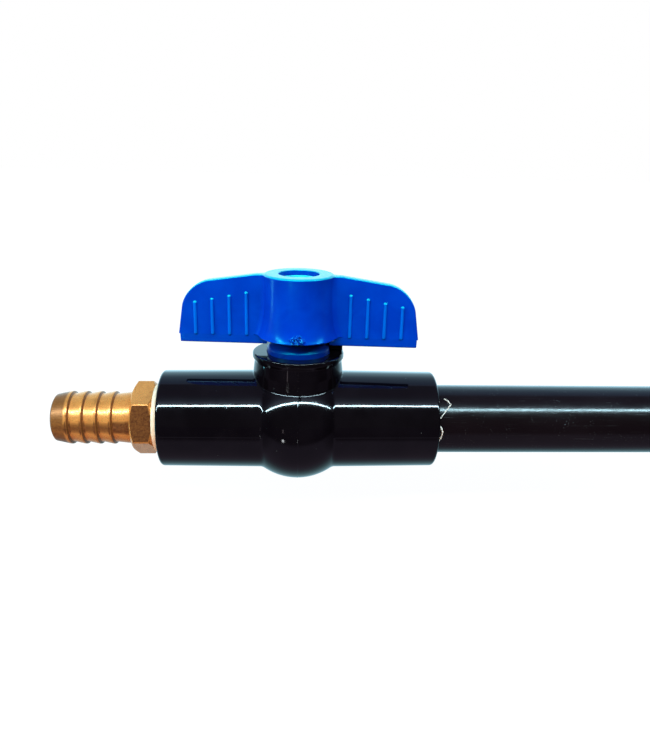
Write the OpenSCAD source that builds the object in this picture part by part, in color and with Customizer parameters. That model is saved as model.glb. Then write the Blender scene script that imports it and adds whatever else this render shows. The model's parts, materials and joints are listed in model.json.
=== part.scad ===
// Compact half-inch plastic ball valve between a brass hose tail and a solvent-welded pipe.
// Millimetres. The origin is the centre of the ball: +X runs down the pipe, +Z up the stem.

/* [Pipe] */
// Outside diameter of the half-inch pipe
pipe_od = 21.34; // [16:0.01:34]
// Inside diameter of the pipe
pipe_id = 15.8; // [12:0.1:28]
// From the valve centre to the cut end of the pipe
pipe_end_x = 125; // [60:1:400]
// From the valve centre to the shoulder that the pipe is pushed against
pipe_stop_x = 20.5; // [18:0.5:30]
// How much the socket narrows the pipe at its inner end, on the radius
socket_taper = 0.055; // [0.02:0.005:0.2]

/* [Valve body] */
// Radius of the body tube where it meets the bulge
tube_mid_r = 15.35; // [13:0.05:20]
// Radius of the body tube at both ends
tube_end_r = 14.85; // [13:0.05:20]
// From the valve centre to the threaded end
thread_end_x = 41.7; // [30:0.1:60]
// From the valve centre to the socket end
socket_end_x = 42.3; // [30:0.1:60]
// Radius of the round bulge over the ball
bulge_r = 18.65; // [15:0.05:26]
// Radius of the stem housing below its rim
neck_r = 13.6; // [10:0.1:18]
// Radius of the stem housing's rim
neck_rim_r = 13.8; // [10:0.1:18]
// Height of the top of the stem housing above the valve centre
neck_top_z = 22.1; // [18:0.1:32]
// Height of the rim around the top of the stem housing
neck_rim_h = 1.3; // [0.8:0.1:6]
// Height of the top of the stop wall that stands on the rim
stop_top_z = 26.4; // [24:0.1:27]
// Rounding of the outer edges of the body
body_round = 0.9; // [0.2:0.1:2]

/* [Ball and seats] */
// Radius of the ball
ball_r = 10.35; // [8:0.05:16]
// Radius of the hole through the ball
ball_bore_r = 6.35; // [4:0.05:12]
// Width of the drive slot in the top of the ball
slot_w = 4; // [2:0.1:6]
// Height of the bottom of the drive slot
slot_z = 7.7; // [6.5:0.1:10]
// Radius of the chamber around the ball
chamber_r = 10.6; // [9:0.05:18]
// Radius of the flow way through the seats and the body
flow_r = 6.5; // [4:0.05:12]
// Outer radius of the two seats
seat_r = 9.6; // [8:0.1:14]
// Distance from the valve centre to the near face of a seat
seat_near_x = 6.4; // [4:0.1:9]
// Distance from the valve centre to the far face of a seat
seat_far_x = 11; // [9:0.1:16]
// Gap between the ball and a seat's hollow face
seat_gap = 0.03; // [0.01:0.01:0.1]
// Cord radius of the elastic ring behind each seat
seat_ring_r = 0.8; // [0.5:0.05:1.5]

/* [Stem] */
// Radius of the sealed part of the stem
stem_r = 6.5; // [4:0.05:9]
// Running gap around the stem
stem_gap = 0.08; // [0.01:0.01:0.1]
// Thickness of the driving tang
tang_t = 3.8; // [2:0.1:6]
// Length of the driving tang
tang_len = 9.6; // [6:0.1:12]
// Radius of the thrust flange
flange_r = 9.3; // [7:0.1:9.4]
// Radius of the stem above the flange
shank_r = 5.9; // [4:0.1:8]
// Width of the square that the handle fits
drive_w = 8; // [5:0.1:10]
// Cord radius of the two stem seal rings
stem_ring_r = 0.8; // [0.5:0.05:1.2]

/* [Collar] */
// Radius of the coloured collar that closes the stem housing
collar_r = 9.45; // [7:0.05:12]
// Height of the collar's shoulder
collar_top_z = 24; // [22:0.1:28]
// Height of the top of the collar's sloping lip
collar_lip_z = 25.5; // [23:0.1:29]

/* [Handle] */
// Turn of the handle away from fully open, clockwise from above
handle_turn = 4.27; // [0:0.01:90]
// Height of the handle's top face
handle_top_z = 45.7; // [35:0.1:60]
// Height of the bottom of the round hub
hub_bottom_z = 27.2; // [25:0.1:32]
// Height of the bottom of the wings
wing_bottom_z = 24.35; // [24.1:0.05:30]
// Half the span over both wings, at their bottom edge
wing_half_span = 36; // [25:0.1:50]
// Thickness of the wings
wing_t = 3.6; // [2:0.1:6]
// Distance from the stem to the first grip rib
rib_first_x = 15.4; // [14:0.1:20]
// Spacing of the grip ribs
rib_pitch = 5.1; // [3:0.1:8]
// Radius of the half-round grip ribs
rib_r = 0.6; // [0.2:0.05:1]
// Radius of the hollow of the hub around the drive boss
hub_hollow_r = 9.2; // [8:0.1:9.3]
// Radius of the drive boss inside the hub
boss_r = 7.2; // [6:0.1:8]
// Radius of the recess for the cap
cap_recess_r = 6.05; // [4:0.05:8]
// Height of the cap's face
cap_face_z = 44.2; // [40:0.1:46]

/* [Hose tail] */
// Radius of the crests that grip the hose
crest_r = 8.15; // [6:0.05:12]
// Radius of the valleys between the crests
valley_r = 7.55; // [5:0.05:11]
// Radius of the hole through the hose tail
tail_bore_r = 5.5; // [3:0.1:8]
// From the valve centre to the tip of the hose tail
tail_tip_x = 74.3; // [60:0.1:100]
// Spacing of the crests
crest_pitch = 4.3; // [3:0.05:8]
// Width across the flats of the hexagon
hex_af = 20.1; // [17:0.1:27]
// Distance from the valve centre to the hexagon's outer face
hex_far_x = 50.2; // [45:0.1:60]
// Distance from the valve centre to the hexagon's inner face
hex_near_x = 43.7; // [42:0.1:55]
// Turn of the hexagon about the pipe's line
hex_turn = 49; // [0:1:60]

/* [Thread] */
// Crest radius of the male thread
thread_r = 10.42; // [9:0.01:14]
// Depth of the thread's ridges
thread_depth = 1.05; // [0.5:0.05:2]
// Spacing of the thread's ridges
thread_pitch = 1.814; // [1:0.001:3]
// Gap between the male and the female ridges, on the radius
thread_gap = 0.06; // [0.02:0.01:0.2]
// Outer radius of the sealing tape that shows
tape_r = 10.8; // [10:0.05:14]

/* [Hidden] */
black = [0.05, 0.05, 0.06];
blue = [0, 0.28, 0.85];
brass = [0.78, 0.48, 0.22];
round_fn = 96;
small_fn = 48;
over = 1;
pipe_r = pipe_od / 2;
pipe_full_x = 47.5;
cement_gap = 0.03;
pocket_x = seat_far_x + 2 * seat_ring_r;
pocket_mouth_x = 8.6;
ring_mid_r = (flow_r + seat_r) / 2;
shoulder_z = 16.6;
washer_t = 0.6;
flange_z = shoulder_z + washer_t + 0.05;
flange_top_z = flange_z + 1.65;
collar_z = flange_top_z + 0.05;
collar_gap = 0.03;
lip_r = 7.6;
shank_gap = 0.1;
stem_bottom_z = ball_r + 0.25;
ring_low_z = 12.3;
ring_high_z = 15;
stem_ring_mid_r = stem_r + stem_gap - stem_ring_r - 0.02;
drive_z = 25.9;
drive_top_z = 36.9;
web_z = 37;
web_top_z = 39;
screw_r = 1.75;
screw_gap = 0.03;
screw_end_z = 28;
screw_hole_z = screw_end_z - 1;
washer_r = 4.2;
washer_h = 0.9;
head_r = 3.6;
head_h = 2.3;
cap_ledge_z = 42.6;
well_r = 4.6;
spigot_h = 1.4;
spigot_bore_r = 3.9;
stop_inner_r = 9.9;
stop_outer_r = neck_rim_r - 0.05;
stop_gap = 0.1;
rim_chamfer = 0.5;
groove_r = 12.9;
groove_h = 1.1;
neck_taper_h = 3.1;
ridge_steps = [0.08, 0.42, 0.58, 0.92];
thread_bottom_x = 23.5;
thread_tip_x = 28.2;
mouth_depth = 1.9;
tail_tip_r = 7.25;
tail_neck_r = 7.93;
tail_neck_l = 2;
first_crest_x = 4.3;
crest_steps = [0, 0.5, 1.6];
tape_outer_x = hex_near_x;
tape_wraps_x = [43.2, 42.5, 41.9];
tape_inner_x = thread_end_x - mouth_depth;
screw_hole_r = 2.1;
wing_root_r = 9.3;
wing_lip_h = 2.6;
drive_gap = 0.04;
hollow_top_z = 31.5;
fillet_r = 1.5;
fillet_hub_r = 9.9;
fillet_h = 17.2;
rib_end = 0.35;
rib_end_r = 0.22;
rib_bottom_z = 26.6;
rib_top_z = 39.6;
rib_top_drop = 0.205;

// Turns a shape drawn up +Z so that it runs along +X
module along_x() {
    rotate([0, 90, 0])
        children();
}

// A plain cylinder along X between two stations
module bar_x(x0, x1, r, fn = round_fn) {
    translate([x0, 0, 0])
        along_x()
            cylinder(h = x1 - x0, r = r, $fn = fn);
}

// A tapered cylinder along X between two stations
module cone_x(x0, x1, r0, r1) {
    translate([x0, 0, 0])
        along_x()
            cylinder(h = x1 - x0, r1 = r0, r2 = r1, $fn = round_fn);
}

// A vertical cylinder between two heights
module post(z0, z1, r, fn = round_fn) {
    translate([0, 0, z0])
        cylinder(h = z1 - z0, r = r, $fn = fn);
}

// A round ring of cord lying across the X axis at station x
module cord_ring_x(x, mid_r, cord_r) {
    translate([x, 0, 0])
        along_x()
            rotate_extrude($fn = round_fn)
                translate([mid_r, 0])
                    circle(r = cord_r, $fn = small_fn);
}

// A round ring of cord lying flat at height z
module cord_ring_z(z, mid_r, cord_r) {
    translate([0, 0, z])
        rotate_extrude($fn = round_fn)
            translate([mid_r, 0])
                circle(r = cord_r, $fn = small_fn);
}

// Everything that turns with the handle is drawn open and turned by this
module turned() {
    rotate([0, 0, -handle_turn])
        children();
}

// Points of the whole thread ridges between stations x0 and x1, as radius and station.
// The ridges lie on one grid from the valve centre, so both threads are in step.
function ridge_points(x0, x1, r_crest, depth) = [
    for (i = [ceil(x0 / thread_pitch) : floor(x1 / thread_pitch) - 1])
        for (k = [0 : 3])
            [
                (k == 1 || k == 2) ? r_crest : r_crest - depth,
                thread_pitch * (i + ridge_steps[k])
            ]
];

// Solid of revolution with thread ridges on it, along X
module ridged_bar(x0, x1, r_crest, depth) {
    along_x()
        rotate_extrude($fn = round_fn)
            polygon(concat(
                [[0, x0], [r_crest - depth, x0]],
                ridge_points(x0, x1, r_crest, depth),
                [[r_crest - depth, x1], [0, x1]]
            ));
}

// The taper that the socket and the pushed-in pipe share
module socket_cone(gap = 0) {
    cone_x(pipe_stop_x, pipe_full_x, pipe_r - socket_taper + gap, pipe_r + gap);
}

// Quarter round at a tube's end, as radius and station
function end_round(x, r, dir) = [
    for (a = [0 : 22.5 : 90])
        [
            r - body_round * (1 - cos(a)),
            x - dir * body_round * (1 - sin(a))
        ]
];

// The two tubes of the body, one each side of the bulge
module body_tubes() {
    along_x()
        rotate_extrude($fn = round_fn)
            polygon(concat(
                [[0, -thread_end_x]],
                [for (i = [4 : -1 : 0]) end_round(-thread_end_x, tube_end_r, -1)[i]],
                [[tube_mid_r, 0]],
                end_round(socket_end_x, tube_end_r, 1),
                [[0, socket_end_x]]
            ));
}

// The stem housing that stands on the bulge, grooved under its rim
module body_neck() {
    rim_z = neck_top_z - neck_rim_h;
    rotate_extrude($fn = round_fn)
        polygon([
            [0, 0], [neck_r, 0], [neck_r, rim_z - groove_h - neck_taper_h],
            [groove_r, rim_z - groove_h], [neck_rim_r, rim_z],
            [neck_rim_r, neck_top_z - rim_chamfer], [neck_rim_r - 0.4, neck_top_z], [0, neck_top_z]
        ]);
}

// The quarter wall on the rim that the wings meet when the handle is open and when it is shut
module stop_wall() {
    first = wing_t / 2 + stop_gap;
    intersection() {
        difference() {
            post(neck_top_z - over, stop_top_z, stop_outer_r);
            post(neck_top_z - 2 * over, stop_top_z + over, stop_inner_r);
        }
        translate([first, first, 0])
            cube([stop_outer_r, stop_outer_r, stop_top_z + over]);
    }
}

module valve_body() {
    color(black) {
        difference() {
            union() {
                body_tubes();
                sphere(r = bulge_r, $fn = round_fn);
                body_neck();
            }
            ridged_bar(-thread_end_x - over, -thread_bottom_x, thread_r + thread_gap, thread_depth);
            bar_x(-thread_end_x - over, -tape_inner_x, tape_r);
            bar_x(-thread_bottom_x - over, 0, flow_r);
            bar_x(-pocket_x, 0, seat_r);
            bar_x(-pocket_mouth_x, pipe_stop_x, chamber_r);
            socket_cone(cement_gap);
            post(0, shoulder_z + over, stem_r + stem_gap);
            post(shoulder_z, neck_top_z + over, collar_r);
        }
        stop_wall();
    }
}

module ball() {
    color([0.86, 0.87, 0.88])
        turned()
            difference() {
                sphere(r = ball_r, $fn = round_fn);
                bar_x(-ball_r - over, ball_r + over, ball_bore_r);
                translate([-slot_w / 2, -ball_r, slot_z])
                    cube([slot_w, 2 * ball_r, ball_r]);
            }
}

// One seat, on the +X side of the ball
module seat() {
    difference() {
        bar_x(seat_near_x, seat_far_x, seat_r);
        bar_x(0, seat_far_x + over, flow_r);
        sphere(r = ball_r + seat_gap, $fn = round_fn);
    }
}

module seat_left() {
    color([0.95, 0.95, 0.93])
        mirror([1, 0, 0])
            seat();
}

module seat_right() {
    color([0.95, 0.95, 0.93])
        seat();
}

module seat_ring_left() {
    color([0.06, 0.06, 0.06])
        cord_ring_x(-seat_far_x - seat_ring_r, ring_mid_r, seat_ring_r);
}

module seat_ring_right() {
    color([0.06, 0.06, 0.06])
        cord_ring_x(seat_far_x + seat_ring_r, ring_mid_r, seat_ring_r);
}

module seat_carrier() {
    spanner_slot_w = 2.4;
    spanner_slot_d = 1.8;
    color([0.1, 0.1, 0.11])
        difference() {
            bar_x(pocket_mouth_x, pipe_stop_x, chamber_r);
            bar_x(pocket_mouth_x - over, pocket_x, seat_r);
            bar_x(0, pipe_stop_x + over, flow_r);
            translate([pipe_stop_x - spanner_slot_d, -spanner_slot_w / 2, -chamber_r - over])
                cube([spanner_slot_d + over, spanner_slot_w, 2 * (chamber_r + over)]);
        }
}

// The groove cut round the stem for one seal ring
module ring_groove(z) {
    difference() {
        post(z - stem_ring_r - 0.1, z + stem_ring_r + 0.1, stem_r + over);
        post(z - 2 * over, z + 2 * over, stem_ring_mid_r - stem_ring_r);
    }
}

module stem() {
    color([0.16, 0.16, 0.17])
        turned()
            difference() {
                union() {
                    translate([-tang_t / 2, -tang_len / 2, slot_z + 0.2])
                        cube([tang_t, tang_len, stem_bottom_z - slot_z + 0.5]);
                    post(stem_bottom_z, flange_z + 0.1, stem_r);
                    post(flange_z, flange_top_z, flange_r);
                    post(flange_top_z - 0.1, drive_z, shank_r);
                    translate([-drive_w / 2, -drive_w / 2, drive_z - 0.1])
                        cube([drive_w, drive_w, drive_top_z - drive_z + 0.1]);
                }
                ring_groove(ring_low_z);
                ring_groove(ring_high_z);
                post(screw_hole_z, drive_top_z + over, screw_r + screw_gap, small_fn);
            }
}

module stem_ring_lower() {
    color([0.06, 0.06, 0.06])
        cord_ring_z(ring_low_z, stem_ring_mid_r, stem_ring_r);
}

module stem_ring_upper() {
    color([0.06, 0.06, 0.06])
        cord_ring_z(ring_high_z, stem_ring_mid_r, stem_ring_r);
}

module thrust_washer() {
    color([0.93, 0.93, 0.9])
        difference() {
            post(shoulder_z, shoulder_z + washer_t, flange_r);
            post(shoulder_z - over, shoulder_z + over, stem_r + stem_gap);
        }
}

module gland_collar() {
    color(blue)
        difference() {
            union() {
                post(collar_z, collar_top_z, collar_r - collar_gap);
                translate([0, 0, collar_top_z])
                    cylinder(
                        h = collar_lip_z - collar_top_z, r1 = collar_r - 0.35, r2 = lip_r,
                        $fn = round_fn
                    );
            }
            post(collar_z - over, collar_lip_z + over, shank_r + shank_gap);
        }
}

// Half of the wings' outline from the stem to the tip, as distance and height
wing_outline = [
    [wing_root_r, wing_bottom_z], [wing_half_span - 0.5, wing_bottom_z],
    [wing_half_span, wing_bottom_z + wing_lip_h], [wing_half_span - 0.4, 29.2],
    [wing_half_span - 0.95, 32.9], [wing_half_span - 1.6, 35.4], [wing_half_span - 2.3, 37.6],
    [wing_half_span - 3.5, 39.8], [wing_half_span - 5.1, 41.3], [wing_half_span - 6.9, 42.4],
    [wing_half_span - 9.3, 43.1], [12, 45.4], [wing_root_r, 45.4]
];

// One wing on the +X side of the stem
module wing() {
    translate([0, wing_t / 2, 0])
        rotate([90, 0, 0])
            linear_extrude(height = wing_t)
                polygon(wing_outline);
}

// One half-round grip rib on a wing's face, with sloping ends
module grip_rib(x, side) {
    top = rib_top_z - (x - rib_first_x) * rib_top_drop;
    translate([x, side * wing_t / 2, 0]) {
        post(rib_bottom_z + rib_end, top - rib_end, rib_r, small_fn);
        translate([0, 0, rib_bottom_z])
            cylinder(h = rib_end, r1 = rib_end_r, r2 = rib_r, $fn = small_fn);
        translate([0, 0, top - rib_end])
            cylinder(h = rib_end, r1 = rib_r, r2 = rib_end_r, $fn = small_fn);
    }
}

// The hollow corner where a wing's face runs into the hub
module wing_root_fillet() {
    cy = wing_t / 2 + fillet_r - 0.04;
    cx = sqrt(pow(fillet_hub_r + fillet_r, 2) - cy * cy);
    hub_angle = 180 + atan2(cy, cx);
    steps = 6;
    translate([0, 0, hub_bottom_z])
        linear_extrude(height = fillet_h)
            polygon(concat(
                [[8.5, 3], [8.5, 1], [cx, 1]],
                [
                    for (i = [0 : steps])
                        [cx, cy] + fillet_r * [
                            cos(270 + (hub_angle - 270) * i / steps),
                            sin(270 + (hub_angle - 270) * i / steps)
                        ]
                ]
            ));
}

// The round hub with its bell mouth, before it is hollowed
module hub() {
    rotate_extrude($fn = round_fn)
        polygon([
            [0, hub_bottom_z], [12.2, hub_bottom_z], [11.6, 28.5], [11.05, 30], [10.55, 32],
            [10.2, 34.5], [10, 38], [10.05, 41], [10.25, 43.5], [10.4, 44.8], [10.2, 45.35],
            [9.5, handle_top_z], [0, handle_top_z]
        ]);
}

// The hub, wings and grip ribs before the drive is cut
module handle_shell() {
    hub();
    for (flip = [0, 1])
        mirror([flip, 0, 0]) {
            wing();
            for (side = [-1, 1])
                for (i = [0 : 3])
                    grip_rib(rib_first_x + i * rib_pitch, side);
            for (side = [0, 1])
                mirror([0, side, 0])
                    wing_root_fillet();
        }
}

module handle() {
    color(blue)
        turned()
            difference() {
                union() {
                    difference() {
                        handle_shell();
                        post(drive_z - over, hollow_top_z, hub_hollow_r);
                    }
                    post(drive_z, hollow_top_z + over, boss_r);
                }
                translate([-drive_w / 2 - drive_gap, -drive_w / 2 - drive_gap, drive_z - over])
                    cube([drive_w + 2 * drive_gap, drive_w + 2 * drive_gap, web_z - drive_z + over]);
                post(drive_z, handle_top_z, screw_hole_r, small_fn);
                post(web_top_z, handle_top_z, well_r);
                post(cap_ledge_z, handle_top_z + over, cap_recess_r);
            }
}

module handle_screw() {
    recess_w = 1.1;
    recess_len = 1.2 * head_r;
    head_z = web_top_z + washer_h;
    color([0.72, 0.73, 0.75])
        turned()
            difference() {
                union() {
                    post(screw_end_z, head_z, screw_r, small_fn);
                    post(head_z, head_z + head_h, head_r, small_fn);
                }
                translate([-recess_len / 2, -recess_w / 2, head_z + 1])
                    cube([recess_len, recess_w, head_h]);
                translate([-recess_w / 2, -recess_len / 2, head_z + 1])
                    cube([recess_w, recess_len, head_h]);
            }
}

module screw_washer() {
    color([0.75, 0.76, 0.78])
        difference() {
            post(web_top_z, web_top_z + washer_h, washer_r, small_fn);
            post(web_top_z - over, web_top_z + washer_h + over, screw_hole_r, small_fn);
        }
}

module handle_cap() {
    color(blue)
        difference() {
            union() {
                post(cap_ledge_z, cap_face_z, cap_recess_r - 0.03);
                post(cap_ledge_z - spigot_h, cap_ledge_z, well_r - 0.02);
            }
            post(cap_ledge_z - spigot_h - over, cap_ledge_z + 0.5, spigot_bore_r);
        }
}

// Points of the hose grip from the tip to the hexagon, as radius and station
function grip_points() = concat(
    [[tail_tip_r - 0.55, -tail_tip_x], [tail_tip_r, -tail_tip_x + 0.5]],
    [
        for (i = [0 : 3])
            for (k = [0 : 2])
                [
                    k == 2 ? valley_r : crest_r,
                    -tail_tip_x + first_crest_x + i * crest_pitch + crest_steps[k]
                ]
    ],
    [[tail_neck_r, -hex_far_x - tail_neck_l], [tail_neck_r, -hex_far_x]]
);

// The hexagon with its corners chamfered on both faces
module tail_hex() {
    corner_r = hex_af / 2 / cos(30);
    outer_l = 1.2;
    inner_l = 0.9;
    intersection() {
        translate([-hex_far_x, 0, 0])
            along_x()
                rotate([0, 0, hex_turn])
                    cylinder(h = hex_far_x - hex_near_x, r = corner_r, $fn = 6);
        union() {
            cone_x(-hex_far_x, -hex_far_x + outer_l, 9.7, corner_r + 0.1);
            bar_x(-hex_far_x + outer_l, -hex_near_x - inner_l, corner_r + 0.1);
            cone_x(-hex_near_x - inner_l, -hex_near_x, corner_r + 0.1, 10.2);
        }
    }
}

module hose_tail() {
    color(brass)
        difference() {
            union() {
                along_x()
                    rotate_extrude($fn = round_fn)
                        polygon(concat([[0, -tail_tip_x]], grip_points(), [[0, -hex_far_x]]));
                tail_hex();
                bar_x(-hex_near_x - over, -tape_inner_x, thread_r);
                ridged_bar(-tape_inner_x - 0.1, -thread_tip_x, thread_r, thread_depth);
            }
            bar_x(-tail_tip_x - over, -thread_tip_x + over, tail_bore_r);
        }
}

module ptfe_tape() {
    color([0.93, 0.93, 0.86])
        difference() {
            union() {
                bar_x(-tape_outer_x, -tape_wraps_x[0], tape_r - 0.12);
                bar_x(-tape_wraps_x[0], -tape_wraps_x[1], tape_r);
                bar_x(-tape_wraps_x[1], -tape_wraps_x[2], tape_r - 0.07);
                bar_x(-tape_wraps_x[2], -tape_inner_x, tape_r);
            }
            bar_x(-tape_outer_x - over, -tape_inner_x + over, thread_r);
        }
}

module pipe() {
    color([0.1, 0.1, 0.11])
        difference() {
            union() {
                socket_cone();
                bar_x(pipe_full_x, pipe_end_x, pipe_r);
            }
            bar_x(pipe_stop_x - over, pipe_end_x + over, pipe_id / 2);
        }
}

// A point on the pipe just proud of its wall, at station x and angle a above the front
function on_pipe(x, a) = [x, -(pipe_r + 0.05) * cos(a), (pipe_r + 0.05) * sin(a)];

// One short run of squeezed-out cement along the pipe
module bead_run(a, b) {
    hull() {
        translate(a)
            sphere(r = 0.28, $fn = 16);
        translate(b)
            sphere(r = 0.28, $fn = 16);
    }
}

module cement_bead() {
    ring_w = 0.9;
    color([0.1, 0.1, 0.11])
        difference() {
            union() {
                cone_x(socket_end_x, socket_end_x + ring_w, pipe_r + 0.8, pipe_r + 0.1);
                bead_run(on_pipe(44.6, 56), on_pipe(46.4, 46));
                bead_run(on_pipe(46.4, 46), on_pipe(43, 20));
                bead_run(on_pipe(43, 10), on_pipe(44, -2));
                bead_run(on_pipe(44, -2), on_pipe(43.1, -23));
            }
            socket_cone();
            bar_x(0, socket_end_x, 2 * pipe_r);
        }
}

valve_body();
ball();
seat_left();
seat_right();
seat_ring_left();
seat_ring_right();
seat_carrier();
stem();
stem_ring_lower();
stem_ring_upper();
thrust_washer();
gland_collar();
handle();
handle_screw();
screw_washer();
handle_cap();
hose_tail();
ptfe_tape();
pipe();
cement_bead();
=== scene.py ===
"""Looks of a half-inch plastic ball valve between a brass hose tail and a solvent-welded pipe.

Shapes are worked out in millimetres and turned into metres when a mesh is made.
The X axis runs down the pipe, Z up the stem, and the origin is the centre of the ball.
"""

import json
import math

import bmesh
import bpy
import numpy as np
from mathutils import Matrix, Quaternion, Vector


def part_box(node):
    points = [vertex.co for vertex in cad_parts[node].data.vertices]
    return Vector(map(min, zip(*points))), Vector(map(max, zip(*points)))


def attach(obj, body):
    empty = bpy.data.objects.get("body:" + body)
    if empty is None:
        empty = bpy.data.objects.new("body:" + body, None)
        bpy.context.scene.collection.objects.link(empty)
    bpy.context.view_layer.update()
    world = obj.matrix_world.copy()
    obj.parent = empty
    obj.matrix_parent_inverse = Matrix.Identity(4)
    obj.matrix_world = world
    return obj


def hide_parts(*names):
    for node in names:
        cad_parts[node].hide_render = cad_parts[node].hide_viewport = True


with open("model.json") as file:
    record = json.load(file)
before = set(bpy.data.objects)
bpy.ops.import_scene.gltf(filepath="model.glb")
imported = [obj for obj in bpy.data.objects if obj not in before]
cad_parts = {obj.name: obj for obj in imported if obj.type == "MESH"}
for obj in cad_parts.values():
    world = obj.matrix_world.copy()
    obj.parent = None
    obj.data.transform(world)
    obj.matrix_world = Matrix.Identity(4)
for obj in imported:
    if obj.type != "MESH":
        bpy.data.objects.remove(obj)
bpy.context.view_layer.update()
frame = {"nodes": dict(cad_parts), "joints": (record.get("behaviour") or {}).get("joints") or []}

MM = 0.001
LINE_BODY = "valve_and_line"
HANDLE_BODY = "handle_and_stem"


def box_mm(node):
    """Lowest and highest corners of a CAD node, in millimetres."""
    low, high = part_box(node)
    return np.array(low) / MM, np.array(high) / MM


def rest_turn():
    """How far the handle stands off fully open at rest, in radians."""
    joint = next(j for j in frame["joints"] if j["name"] == "handle_turn")
    return math.radians(joint["range_deg"][0])


# ---------------------------------------------------------------- sizes, in millimetres

body_low, body_high = box_mm("valve_body")
tail_low, tail_high = box_mm("hose_tail")
tape_low, tape_high = box_mm("ptfe_tape")
pipe_low, pipe_high = box_mm("pipe")
handle_low, handle_high = box_mm("handle")
collar_low, collar_high = box_mm("gland_collar")
cap_low, cap_high = box_mm("handle_cap")
carrier_high = box_mm("seat_carrier")[1]

HANDLE_TURN = rest_turn()

THREAD_END = body_low[0]
SOCKET_END = body_high[0]
NECK_TOP = 22.1
STOP_TOP = body_high[2]
SEAM_H = 0.06
BULGE_R = min(-body_low[2], body_high[1]) - SEAM_H
TUBE_MID_R = 15.25
TUBE_END_R = 14.8
TUBE_ROUND = 0.9
NECK_R = 13.6
RIM_R = 13.8
RIM_H = 1.3
GROOVE_R = 13.2
GROOVE_H = 1.1
NECK_TAPER_H = 3.1
STOP_IN_R = 9.9
STOP_END = 1.9
TUBE_FILLET = 0.35
NECK_FILLET = 0.36
FLOW_R = 6.5
SEAT_POCKET_R = 9.6
SEAT_POCKET_X = -12.6
STEM_BORE_R = 6.58
NECK_FLOOR = 16.6

PIPE_R = pipe_high[2]
PIPE_BORE_R = 7.9
PIPE_STOP = pipe_low[0]
PIPE_END = pipe_high[0]
SOCKET_TAPER = 0.055
TAPER_END = 47.5

THREAD_BOTTOM = -23.5
THREAD_TIP = tail_high[0]
THREAD_CREST_R = 10.42
THREAD_DEPTH = 1.05
THREAD_PITCH = 1.814
THREAD_GAP = 0.06

TAPE_R = tape_high[2]
TAPE_OUT = tape_low[0]
TAPE_IN = tape_high[0]

HEX_FAR = -50.2
HEX_NEAR = TAPE_OUT
HEX_AF = 20.1
HEX_TURN = math.radians(49)
TAIL_TIP = tail_low[0]
TAIL_BORE_R = 5.5
CREST_R = 8.15
VALLEY_R = 7.55
FIRST_CREST = 4.7
CREST_PITCH = 4.3

COLLAR_R = collar_high[0]
HUB_BOTTOM = 27.2
HUB_TOP = handle_high[2]
WING_BOTTOM = handle_low[2]
WING_HALF_T = 1.8
WING_TOP_Z = 47.22
WING_SLOPE = 0.147
WING_CORNER_R = 6.9
PARTING_Z = WING_BOTTOM + 2.6
RIB_FIRST = 15.4
RIB_PITCH = 5.1
SCAR_R = 12.4
CAP_LEDGE = 42.6
WELL_R = 4.6
WELL_FLOOR = 39
SKIRT_R = 9.2
BOSS_R = 7.2
DRIVE_HALF = 4.04
SCREW_HOLE_R = 2.1


# ---------------------------------------------------------------- mesh tools

def new_piece(name, verts, faces, body, material, replaces=None, normals=None):
    """A mesh object from points in millimetres, riding on a body."""
    mesh = bpy.data.meshes.new(name)
    mesh.from_pydata((np.asarray(verts) * MM).tolist(), [], [list(map(int, f)) for f in faces])
    mesh.validate()
    mesh.shade_smooth()
    if normals is not None:
        mesh.normals_split_custom_set_from_vertices(np.asarray(normals).tolist())
    piece = bpy.data.objects.new(name, mesh)
    bpy.context.scene.collection.objects.link(piece)
    piece.data.materials.append(material)
    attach(piece, body)
    if replaces:
        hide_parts(replaces)
    return piece


def graded(low, high, coarse, spots=()):
    """Grid planes from low to high: coarse steps, with finer ones near each spot.

    A spot is (centre, half width, step), and steps grow by 30% of the distance from it."""
    planes = [low]
    while planes[-1] < high:
        here = planes[-1]
        step = coarse
        for centre, half, fine in spots:
            away = max(abs(here - centre) - half, 0)
            step = min(step, fine + 0.3 * away)
        planes.append(here + step)
    return np.array(planes)


def round_union(a, b, r):
    """Union of two distance fields with a hollow fillet of radius r where they meet."""
    gap = np.hypot(np.maximum(r - a, 0), np.maximum(r - b, 0))
    return np.maximum(r, np.minimum(a, b)) - gap


def round_common(a, b, r):
    """Intersection of two distance fields with its edge rounded to radius r."""
    over = np.hypot(np.maximum(r + a, 0), np.maximum(r + b, 0))
    return np.minimum(-r, np.maximum(a, b)) + over


def round_cut(a, b, r):
    """Field a with field b cut out of it and the edge rounded to radius r."""
    return round_common(a, -b, r)


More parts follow.
